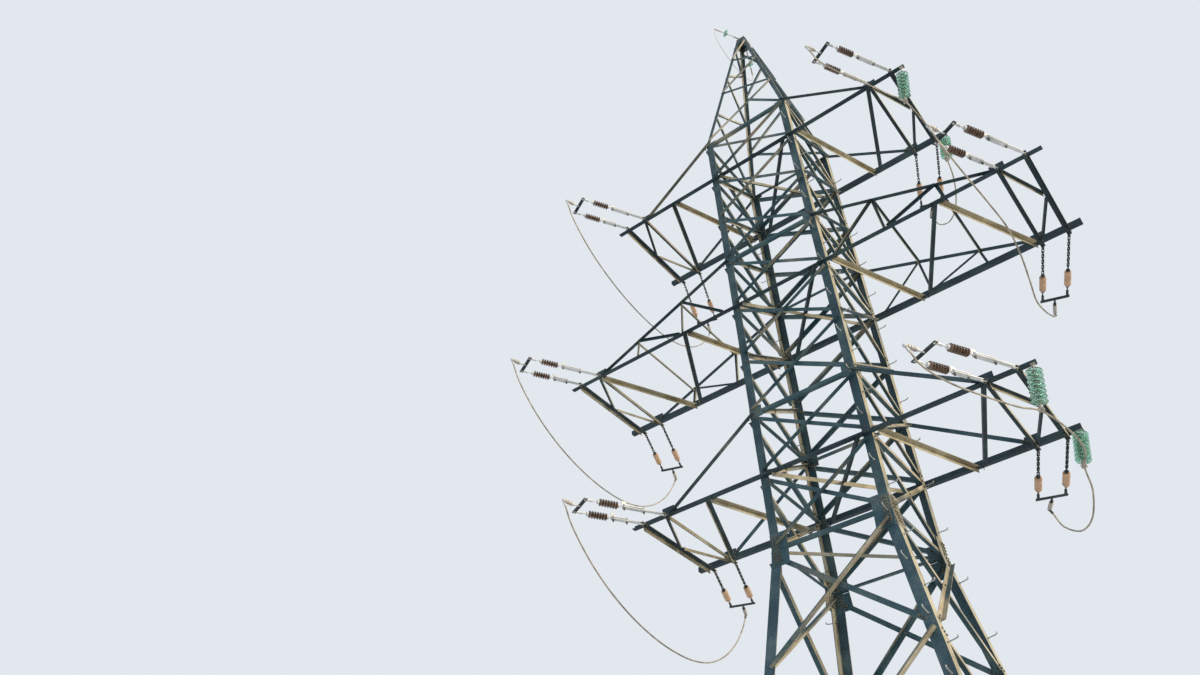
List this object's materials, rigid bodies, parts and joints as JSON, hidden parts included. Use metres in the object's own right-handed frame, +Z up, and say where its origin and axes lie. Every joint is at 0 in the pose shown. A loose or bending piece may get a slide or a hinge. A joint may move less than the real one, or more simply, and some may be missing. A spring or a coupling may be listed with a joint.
{
  "type": "lattice transmission pylon",
  "caption": "Free-standing lattice steel tower on a splayed base, with six crossarms, a pointed peak, double tension strings and hanging jumper loops.",
  "frame": {"origin": "on the tower's axis at ground level, in the middle of the four feet", "axes": "+X along the crossarms, +Y along the line, away from the front, +Z up"},
  "size_m": [10.7321, 5.9925, 24.821],
  "materials": {
    "leg_steel": "weathered galvanised angle steel",
    "bracing_steel": "weathered galvanised angle steel",
    "arm_steel": "weathered galvanised angle steel",
    "plate_steel": "weathered galvanised plate",
    "footing_steel": "weathered galvanised plate",
    "fitting_steel": "hot-dip galvanised forging",
    "brown_porcelain": "brown glazed porcelain",
    "tan_porcelain": "tan glazed porcelain",
    "green_glass": "toughened green glass",
    "stranded_conductor": "weathered stranded aluminium"
  },
  "bodies": {
    "root": {"foot_plates": "footing_steel", "base_leg_front_right": "leg_steel", "base_leg_back_right": "leg_steel", "base_leg_back_left": "leg_steel", "base_leg_front_left": "leg_steel", "base_bracing_front": "bracing_steel", "base_bracing_right": "bracing_steel", "base_bracing_back": "bracing_steel", "base_bracing_left": "bracing_steel", "waist_ring": "bracing_steel", "splice_plates": "plate_steel", "body_leg_front_right": "leg_steel", "body_leg_back_right": "leg_steel", "body_leg_back_left": "leg_steel", "body_leg_front_left": "leg_steel", "body_bracing_front": "bracing_steel", "body_bracing_right": "bracing_steel", "body_bracing_back": "bracing_steel", "body_bracing_left": "bracing_steel", "peak_legs": "leg_steel", "peak_bracing": "bracing_steel", "peak_cap": "plate_steel", "low_arm_frame": "arm_steel", "mid_arm_frame": "arm_steel", "top_arm_frame": "arm_steel", "low_arm_ties": "arm_steel", "top_arm_ties": "arm_steel", "mid_left_front_truss": "arm_steel", "mid_left_back_truss": "arm_steel", "mid_right_front_truss": "arm_steel", "mid_right_back_truss": "arm_steel", "mid_tie_struts": "arm_steel", "front_string_fittings": "fitting_steel", "front_insulators": "brown_porcelain", "back_string_fittings": "fitting_steel", "back_insulators": "tan_porcelain", "support_fittings": "fitting_steel", "support_discs": "green_glass", "low_left_jumper": "stranded_conductor", "mid_left_jumper": "stranded_conductor", "top_left_jumper": "stranded_conductor", "low_right_jumper": "stranded_conductor", "mid_right_jumper": "stranded_conductor", "top_right_jumper": "stranded_conductor"}
  },
  "joints": []
}
